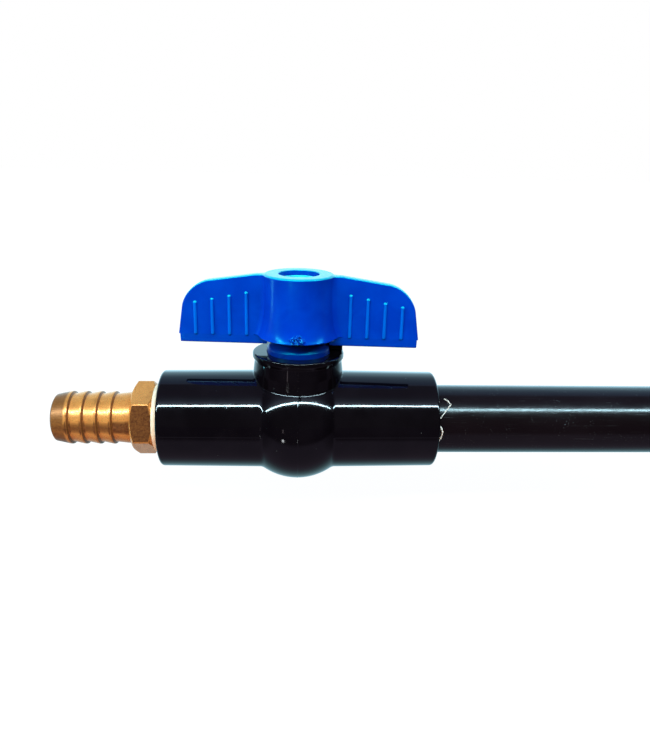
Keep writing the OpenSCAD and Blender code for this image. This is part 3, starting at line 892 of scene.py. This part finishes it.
def torn_chips(p, colour):
    """Pale and dark chips where the handle was broken off its runner."""
    scar_x, scar_y = SCAR_R * math.sin(HANDLE_TURN) + 0.3, -SCAR_R * math.cos(HANDLE_TURN)
    torn = p.near((scar_x, scar_y, 28.4), 2.1)
    chips = p.noise(0.55, 3, 0.6)
    colour = p.mix(p.both(torn, p.ramp(chips, 0.56, 0.64)), colour, rgb(0.02, 0.4, 0.75))
    return p.mix(p.both(torn, p.ramp(chips, 0.46, 0.41)), colour, rgb(0.0, 0.004, 0.02))


def blue_abs(name, painted_shade_factor=1.0, painted_top_light=(0.005, 0.42, 0.55), rough=0.2):
    """Blue moulded plastic: fine orange peel, faint clouds, torn chips, a painted highlight on the rib
    crowns, painted light on upward faces and painted shade on downward ones.
    """
    p = Paint(name, Specular_IOR_Level=0.45, Specular_Tint=rgb(0.0, 0.9, 1.0))
    clouds = p.noise(7, 4, warp=0.4)
    # A shade factor below 1 darkens the whole blue as painted shade; the collar takes 0.45 for the
    # shade under the hub.
    dark, light = rgb(0.0, 0.026 * painted_shade_factor, 0.36 * painted_shade_factor), rgb(0.0, 0.036 * painted_shade_factor, 0.42 * painted_shade_factor)
    colour = painted_rib_highlight(p, p.mix(p.ramp(clouds, 0.3, 0.7), dark, light))
    p.set("Base Color", torn_chips(p, painted_top_light_under_shade(p, colour, painted_top_light)))
    p.set("Roughness", p.span(p.noise(3, 4, 0.6), 0.3, 0.7, rough, rough + 0.03))
    p.relief((p.noise(1.4, 3), 0.01), (p.noise(0.3, 2), 0.002))
    return p.material


def brass_tarnish_and_shade(p, blotch):
    """How brown the brass is: tarnish in patches and at the tip, and painted shade on faces toward the
    front and on the crests' steep backs.
    """
    along = p.axis(p.place, "X")
    on_hex = p.ramp(along, (HEX_FAR - 0.2) * MM, HEX_FAR * MM)
    on_tail = p.math("SUBTRACT", 1.0, on_hex)
    # painted shade on the steep backs of the crests
    behind_crest_shade = p.both(p.ramp(p.axis(p.geometry("Normal"), "X"), 0.15, 0.45), on_tail)
    # painted shade where the hexagon and the tail face the front
    hex_front_shade = p.both(p.facing(11, 0.95, 0.98), on_hex)
    tail_front_shade = p.both(p.facing(-3, 0.93, 0.985), on_tail)
    first_crest = TAIL_TIP + FIRST_CREST
    tip = p.ramp(along, (first_crest + 0.2) * MM, (first_crest - 0.8) * MM)
    spots = p.noise(0.55, 5, 0.7)
    broad = p.ramp(p.noise(6, 3), 0.35, 0.65)
    uneven = p.span(spots, 0.35, 0.65, 0.8, 1)
    tarnish_and_shade = p.math("MAXIMUM", p.both(blotch, p.span(broad, 0, 1, 0.1, 0.4)),
                     p.both(p.ramp(spots, 0.5, 0.66), 0.45))
    front_shade = p.math("MAXIMUM", hex_front_shade, tail_front_shade)
    for mask, share in ((front_shade, 0.95), (behind_crest_shade, 0.85), (tip, 0.8)):
        tarnish_and_shade = p.math("MAXIMUM", tarnish_and_shade, p.both(mask, share, uneven))
    return tarnish_and_shade


def brass():
    """Turned brass: golden, tarnished brown in places, with painted shade on its front faces and crest
    backs, fine lathe marks and pits.
    """
    p = Paint("brass", Metallic=0.5)
    blotch = p.ramp(p.noise(1.5, 6, 0.65, warp=0.5), 0.42, 0.68)
    tarnish_and_shade = brass_tarnish_and_shade(p, blotch)
    pits = p.both(p.ramp(p.dots(1.1), 0.13, 0.06), p.ramp(p.noise(2.6, 2), 0.5, 0.6))
    # The dark brown serves both the tarnish and the painted shade.
    colour = p.mix(tarnish_and_shade, rgb(0.95, 0.36, 0.085), rgb(0.05, 0.008, 0.003))
    p.set("Base Color", p.mix(p.both(pits, 0.7), colour, rgb(0.08, 0.02, 0.01)))
    p.set("Roughness", p.math("ADD", p.span(tarnish_and_shade, 0, 1, 0.26, 0.42), p.both(pits, 0.2)))
    lathe_marks = p.noise(0.12, 2, 0.5, stretch=(1, 0.03, 0.03))
    p.relief((lathe_marks, 0.003), (blotch, 0.004), (pits, -0.015))
    return p.material


def ptfe():
    """Thin white sealing tape, slightly yellow, waxy, with threads along the wrap."""
    p = Paint("ptfe_white", Specular_IOR_Level=0.35)
    folds = p.noise(0.22, 4, 0.6, stretch=(1, 0.12, 0.12))
    stain = p.noise(2.5, 3)
    colour = p.mix(p.ramp(folds, 0.35, 0.65), rgb(0.9, 0.66, 0.47), rgb(0.98, 0.75, 0.56))
    colour = p.mix(p.both(p.ramp(stain, 0.5, 0.75), 0.4), colour, rgb(0.86, 0.6, 0.38))
    p.set("Base Color", colour)
    p.set("Roughness", p.span(folds, 0.3, 0.7, 0.42, 0.6))
    p.relief((folds, 0.03), (p.noise(0.6, 3), 0.02))
    return p.material


def cement():
    """Dried solvent cement: clear grey, glossy, lumpy, paler where it is thick."""
    p = Paint("cement", Specular_IOR_Level=0.6, Coat_Weight=0.3)
    lumps = p.noise(0.8, 3)
    colour = p.mix(p.ramp(lumps, 0.35, 0.65), rgb(0.6, 0.52, 0.46), rgb(0.97, 0.9, 0.82))
    p.set("Base Color", colour)
    p.set("Roughness", p.span(lumps, 0.3, 0.7, 0.12, 0.3))
    p.relief((lumps, 0.05))
    return p.material


def plain_moulding(name, dark, light, low_rough, high_rough, **sockets):
    """A small moulded or rubber piece: two close shades, with fine relief."""
    p = Paint(name, **sockets)
    clouds = p.noise(3, 4)
    p.set("Base Color", p.mix(p.ramp(clouds, 0.35, 0.65), rgb(*dark), rgb(*light)))
    p.set("Roughness", p.span(p.noise(1, 4), 0.3, 0.7, low_rough, high_rough))
    p.relief((p.noise(0.6, 3), 0.01))
    return p.material


def turned_steel():
    """Bright turned steel with fine rings and a few dull spots."""
    p = Paint("screw_steel", Metallic=1.0)
    dull = p.ramp(p.noise(1.5, 4), 0.5, 0.7)
    p.set("Base Color", p.mix(dull, rgb(0.62, 0.63, 0.65), rgb(0.4, 0.39, 0.38)))
    p.set("Roughness", p.span(dull, 0, 1, 0.22, 0.4))
    p.relief((p.noise(0.1, 2, stretch=(0.05, 0.05, 1)), 0.003))
    return p.material


def dress_inner_pieces():
    """Materials for the CAD pieces inside, which keep their own meshes."""
    white = plain_moulding("ball_white", (0.7, 0.71, 0.72), (0.8, 0.8, 0.8), 0.15, 0.25)
    seat = plain_moulding("seat_ptfe", (0.74, 0.73, 0.68), (0.84, 0.83, 0.79), 0.35, 0.5)
    carrier = plain_moulding("carrier_pvc", (0.008, 0.008, 0.009), (0.014, 0.013, 0.015), 0.2, 0.35)
    grey = plain_moulding("stem_grey", (0.02, 0.02, 0.022), (0.035, 0.035, 0.038), 0.25, 0.4)
    rubber = plain_moulding("seal_rubber", (0.006, 0.006, 0.006), (0.012, 0.012, 0.012), 0.5, 0.7)
    steel = turned_steel()
    wanted = {
        "ball": white, "seat_left": seat, "seat_right": seat, "thrust_washer": seat,
        "seat_carrier": carrier, "stem": grey, "seat_ring_left": rubber, "seat_ring_right": rubber,
        "stem_ring_lower": rubber, "stem_ring_upper": rubber, "handle_screw": steel,
        "screw_washer": steel,
    }
    for node, material in wanted.items():
        mesh = frame["nodes"][node].data
        mesh.materials.clear()
        mesh.materials.append(material)


# ---------------------------------------------------------------- studio

CAMERA_AT = (-1.752, -189.148, 78.341)
CAMERA_YAW = math.radians(3.047)
CAMERA_PITCH = math.radians(18.668)
CAMERA_ROLL = math.radians(1.369)
CAMERA_LENS = 31.05

WHITE = (1, 1, 1)
KEY_BLUE = (0.66, 0.92, 1)
SIDE_CYAN = (0.2, 0.8, 1)
STREAK_PINK = (1, 0.8, 0.85)
FILL_AMBER = (1, 0.6, 0.35)
FILL_CYAN = (0.3, 0.9, 1)

# Brightness of the studio's walls by angle round the pipe: 0 is the front, 90 straight up
WALLS = (
    (0, .05), (30, .05), (44, .07), (48, .2), (55, .9), (60, .6), (68, .3), (75, .2), (97, .17),
    (106, .17), (109, .5), (120, .6), (130, .7), (137, .8), (147, 1.15), (158, 1.4), (165, 1.7),
    (170, 2.1), (176, 2.3), (184, 1.9), (200, 1.1), (220, .9), (235, .75), (247, .55), (256, .38),
    (266, .25), (290, .2), (320, .2), (335, .05), (360, .05),
)
# Tint of the walls by the same angle
TINTS = (
    (0, (1, .9, 1)), (48, (1, .9, 1)), (60, (.6, .74, 1)), (80, (.75, .65, 1)), (105, (.7, .68, 1)),
    (112, (.42, .6, 1)), (150, (.5, .82, 1)), (250, (.5, .88, 1)), (275, (.85, .7, 1)),
    (360, (.85, .7, 1)),
)
# The walls fade to the last value between these sideways shares of a direction
SIDE_START, SIDE_END, SIDE_LEVEL = 0.6, 0.9, 0.3
# Share of the walls' light that falls on matt surfaces
DIFFUSE_SHARE = 0.5


def wall_level(n, share):
    """Brightness of the walls by the share of a full turn round the pipe."""
    curve = n.node("FloatCurve", {"Value": share})
    line = curve.mapping.curves[0]
    top = max(level for _, level in WALLS)
    line.points[0].location = (0, WALLS[0][1] / top)
    line.points[1].location = (1, WALLS[-1][1] / top)
    for degrees, level in WALLS[1:-1]:
        line.points.new(degrees / 360, level / top)
    for point in line.points:
        point.handle_type = "AUTO_CLAMPED"
    curve.mapping.update()
    return n.both(curve.outputs[0], top)


def wall_tint(n, share):
    """Colour of the walls by the share of a full turn round the pipe."""
    tint = n.node("ValToRGB", {0: share})
    stops = tint.color_ramp.elements
    for degrees, colour in TINTS[1:-1]:
        stops.new(degrees / 360).color = rgb(*colour)
    stops[0].color, stops[-1].color = rgb(*TINTS[0][1]), rgb(*TINTS[-1][1])
    return tint.outputs["Color"]


def build_world():
    """White to the camera, and soft studio walls, brighter behind, to everything else."""
    world = bpy.data.worlds.new("studio")
    bpy.context.scene.world = world
    world.use_nodes = True
    world.node_tree.nodes.clear()
    n = Nodes(world.node_tree)
    direction = n.node("SeparateXYZ", {0: n.node("TexCoord").outputs["Generated"]}).outputs
    rays = n.node("LightPath").outputs
    angle = n.math("ARCTAN2", direction["Z"], n.both(direction["Y"], -1.0))
    share = n.math("FRACT", n.both(angle, 1 / (2 * math.pi)))
    sideways = n.math("ABSOLUTE", direction["X"])
    sides = n.span(sideways, SIDE_START, SIDE_END, 1, SIDE_LEVEL, "SMOOTHSTEP")
    soft = n.math("SUBTRACT", 1.0, n.both(rays["Is Diffuse Ray"], 1 - DIFFUSE_SHARE))
    strength = n.both(wall_level(n, share), sides, soft)
    walls = n.node("Background", {"Color": wall_tint(n, share), "Strength": strength})
    white = n.node("Background", {"Color": rgb(1, 1, 1), "Strength": 1.0})
    mix = n.node("MixShader", {0: rays["Is Camera Ray"], 1: walls.outputs[0], 2: white.outputs[0]})
    n.node("OutputWorld", {"Surface": mix.outputs[0]})


def strip_light(name, azimuth, elevation, wide, high, radiance, colour=WHITE, shift=0.0, tilt=0.0,
                mirrored=True):
    """A soft panel a metre away that faces the valve.

    It is moved sideways by shift in metres and tilted in degrees. A panel that is not mirrored
    shows in no reflection."""
    light = bpy.data.lights.new(name, "AREA")
    light.shape = "RECTANGLE"
    light.size, light.size_y = wide, high
    light.energy = radiance * math.pi * wide * high
    light.color = colour
    lamp = bpy.data.objects.new(name, light)
    a, e = math.radians(azimuth), math.radians(elevation)
    to_lamp = Vector((math.sin(a) * math.cos(e), -math.cos(a) * math.cos(e), math.sin(e)))
    turn = Quaternion(to_lamp, math.radians(tilt)) @ to_lamp.to_track_quat("Z", "Y")
    lamp.location = to_lamp + turn @ Vector((shift, 0, 0))
    lamp.rotation_euler = turn.to_euler()
    lamp.visible_camera = False
    lamp.visible_glossy = mirrored
    bpy.context.scene.collection.objects.link(lamp)


def build_camera():
    camera = bpy.data.objects.new("camera", bpy.data.cameras.new("camera"))
    camera.data.lens = CAMERA_LENS
    camera.data.sensor_width = 36
    camera.data.clip_start = 0.005
    forward = Vector((math.sin(CAMERA_YAW) * math.cos(CAMERA_PITCH),
                      math.cos(CAMERA_YAW) * math.cos(CAMERA_PITCH), -math.sin(CAMERA_PITCH)))
    level = Vector((math.cos(CAMERA_YAW), -math.sin(CAMERA_YAW), 0))
    upright = level.cross(forward)
    right = math.cos(CAMERA_ROLL) * level + math.sin(CAMERA_ROLL) * upright
    up = math.cos(CAMERA_ROLL) * upright - math.sin(CAMERA_ROLL) * level
    turn = Matrix((right, up, -forward)).transposed()
    camera.matrix_world = Matrix.Translation(Vector(CAMERA_AT) * MM) @ turn.to_4x4()
    bpy.context.scene.collection.objects.link(camera)
    bpy.context.scene.camera = camera


def build_floor():
    """A large pale floor under the valve, lit so that it is nearly white."""
    p = Paint("floor", Roughness=0.9, Emission_Color=rgb(1, 1, 1), Emission_Strength=0.97)
    p.set("Base Color", p.mix(p.noise(60, 3), rgb(0.05, 0.05, 0.05), rgb(0.055, 0.055, 0.055)))
    mesh = bpy.data.meshes.new("floor")
    half, low = 4.0, -0.035
    mesh.from_pydata([(-half, -half, low), (half, -half, low), (half, half, low), (-half, half, low)],
                     [], [(0, 1, 2, 3)])
    mesh.materials.append(p.material)
    floor = bpy.data.objects.new("floor", mesh)
    bpy.context.scene.collection.objects.link(floor)
    for ray in ("visible_glossy", "visible_diffuse", "visible_shadow", "visible_transmission"):
        setattr(floor, ray, False)


def build_studio():
    bpy.context.scene.view_settings.view_transform = "Standard"
    build_world()
    build_floor()
    strip_light("key_left", 0, 50.2, 1.9, 0.044, 86, KEY_BLUE, -0.95, 3.2)
    strip_light("key_right", 0, 50.2, 1.9, 0.044, 72, KEY_BLUE, 0.95, 3.2)
    strip_light("low_patch", -27.5, -22.4, 0.06, 0.09, 12)
    strip_light("low_streak", -27, -5, 0.02, 0.12, 2, STREAK_PINK)
    strip_light("left_strip", -99, -14, 0.05, 0.26, 12, SIDE_CYAN)
    strip_light("right_strip", 109, -11, 0.05, 0.17, 8, SIDE_CYAN)
    strip_light("front_fill", -20, -24, 0.8, 0.8, 3.2, FILL_AMBER, mirrored=False)
    strip_light("left_fill", -75, 10, 0.5, 0.5, 6, FILL_CYAN, mirrored=False)
    build_camera()


# ---------------------------------------------------------------- the whole scene

def main():
    plastic = black_pvc()
    build_body(plastic)
    build_handle(blue_abs("handle_blue"))
    # The collar's blue is darkened as painted shade under the hub.
    build_collar(blue_abs("collar_blue_painted_shade", painted_shade_factor=0.45, rough=0.32))
    # The cap's face gets a strong painted light on top.
    build_cap(blue_abs("cap_blue", painted_top_light=(0.04, 0.85, 0.75)))
    build_tail(brass())
    build_tape(ptfe())
    build_pipe(black_pipe())
    build_cement(cement())
    dress_inner_pieces()
    build_studio()


main()
